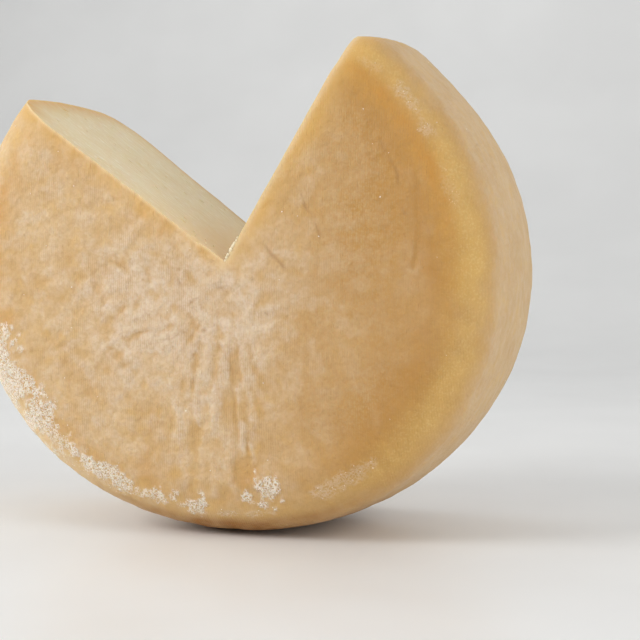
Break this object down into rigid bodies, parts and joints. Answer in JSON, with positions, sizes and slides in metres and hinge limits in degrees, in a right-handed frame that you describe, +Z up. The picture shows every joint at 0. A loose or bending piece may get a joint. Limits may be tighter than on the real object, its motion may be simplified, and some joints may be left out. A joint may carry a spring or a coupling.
{
  "type": "cheese wheel",
  "caption": "Wheel of hard yellow table cheese with a natural rind, standing on its rim, with a wedge cut out of its top.",
  "frame": {"origin": "centre of the bounding box at the bottom, on the flat spot of the rim that the wheel stands on", "axes": "+Z up, +Y along the wheel's axis from the shown face to the back face, +X to the right as the shown face is looked at"},
  "size_m": [0.2754, 0.129, 0.2397],
  "materials": {
    "rind": "natural dry rind, tan with pale haze",
    "paste": "cut ivory paste, slightly waxy",
    "bloom": "dry white granular bloom"
  },
  "bodies": {
    "root": {"cheese_wheel": "rind"}
  },
  "joints": []
}
